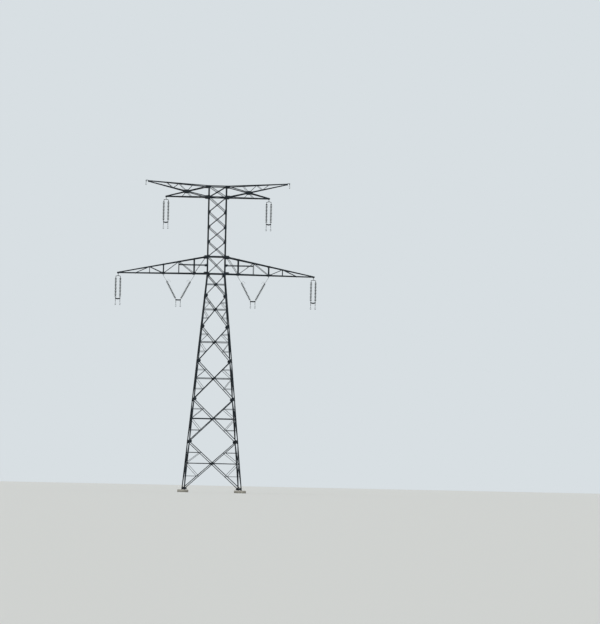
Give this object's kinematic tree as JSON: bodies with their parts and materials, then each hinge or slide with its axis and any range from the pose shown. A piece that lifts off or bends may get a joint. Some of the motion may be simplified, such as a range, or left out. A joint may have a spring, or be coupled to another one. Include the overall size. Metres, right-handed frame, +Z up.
{
  "type": "lattice transmission pylon",
  "caption": "Square tapered lattice tower with a wide lower crossarm, a short upper crossarm, earth wire peaks and hanging insulator strings.",
  "frame": {"origin": "on the ground at the centre between the four footings", "axes": "+X along the crossarms to the right in the picture, +Y along the line away from the camera, +Z up"},
  "size_m": [20.225, 6.61, 31.075],
  "materials": {
    "tower_steel": "weathered galvanised steel with dark grey paint, matt",
    "fitting_steel": "dull galvanised forged fittings",
    "insulator_glass": "green-grey toughened glass discs on iron caps",
    "concrete": "cast concrete, weathered"
  },
  "bodies": {
    "tower": {"footing_front_left": "concrete", "footing_front_right": "concrete", "footing_back_left": "concrete", "footing_back_right": "concrete", "leg_front_left": "tower_steel", "leg_front_right": "tower_steel", "leg_back_left": "tower_steel", "leg_back_right": "tower_steel", "mast_leg_front_left": "tower_steel", "mast_leg_front_right": "tower_steel", "mast_leg_back_left": "tower_steel", "mast_leg_back_right": "tower_steel", "body_lattice_front": "tower_steel", "body_lattice_right": "tower_steel", "body_lattice_back": "tower_steel", "body_lattice_left": "tower_steel", "mast_lattice_front": "tower_steel", "mast_lattice_right": "tower_steel", "mast_lattice_back": "tower_steel", "mast_lattice_left": "tower_steel", "plan_bracing": "tower_steel", "lower_arm_left_front": "tower_steel", "lower_arm_left_back": "tower_steel", "lower_arm_left_bracing": "tower_steel", "lower_arm_right_front": "tower_steel", "lower_arm_right_back": "tower_steel", "lower_arm_right_bracing": "tower_steel", "upper_arm_left_front": "tower_steel", "upper_arm_left_back": "tower_steel", "upper_arm_left_bracing": "tower_steel", "upper_arm_right_front": "tower_steel", "upper_arm_right_back": "tower_steel", "upper_arm_right_bracing": "tower_steel"},
    "i_string_lower_left": {"i_string_lower_left_fittings": "fitting_steel", "i_string_lower_left_discs": "insulator_glass"},
    "i_string_lower_right": {"i_string_lower_right_fittings": "fitting_steel", "i_string_lower_right_discs": "insulator_glass"},
    "i_string_upper_left": {"i_string_upper_left_fittings": "fitting_steel", "i_string_upper_left_discs": "insulator_glass"},
    "i_string_upper_right": {"i_string_upper_right_fittings": "fitting_steel", "i_string_upper_right_discs": "insulator_glass"},
    "v_string_left": {"v_string_left_fittings": "fitting_steel", "v_string_left_discs": "insulator_glass"},
    "v_string_right": {"v_string_right_fittings": "fitting_steel", "v_string_right_discs": "insulator_glass"},
    "earth_clamp_left": {"earth_clamp_left": "fitting_steel"},
    "earth_clamp_right": {"earth_clamp_right": "fitting_steel"}
  },
  "joints": [
    {"name": "i_string_lower_left_swing", "type": "hinge", "parent": "tower", "child": "i_string_lower_left", "pos_m": [-9.76, 0, 21.6212], "axis": [0, 1, 0], "range_deg": [-45, 45]},
    {"name": "i_string_lower_right_swing", "type": "hinge", "parent": "tower", "child": "i_string_lower_right", "pos_m": [9.76, 0, 21.6212], "axis": [0, 1, 0], "range_deg": [-45, 45]},
    {"name": "i_string_upper_left_swing", "type": "hinge", "parent": "tower", "child": "i_string_upper_left", "pos_m": [-5.14, 0, 29.3605], "axis": [0, 1, 0], "range_deg": [-45, 45]},
    {"name": "i_string_upper_right_swing", "type": "hinge", "parent": "tower", "child": "i_string_upper_right", "pos_m": [5.14, 0, 29.3605], "axis": [0, 1, 0], "range_deg": [-45, 45]},
    {"name": "v_string_left_swing", "type": "hinge", "parent": "tower", "child": "v_string_left", "pos_m": [-3.73, 0, 21.66], "axis": [1, 0, 0], "range_deg": [-20, 20]},
    {"name": "v_string_right_swing", "type": "hinge", "parent": "tower", "child": "v_string_right", "pos_m": [3.73, 0, 21.66], "axis": [1, 0, 0], "range_deg": [-20, 20]},
    {"name": "earth_clamp_left_swing", "type": "hinge", "parent": "tower", "child": "earth_clamp_left", "pos_m": [-7.18, 0, 30.925], "axis": [0, 1, 0], "range_deg": [-30, 30]},
    {"name": "earth_clamp_right_swing", "type": "hinge", "parent": "tower", "child": "earth_clamp_right", "pos_m": [7.18, 0, 30.925], "axis": [0, 1, 0], "range_deg": [-30, 30]}
  ]
}
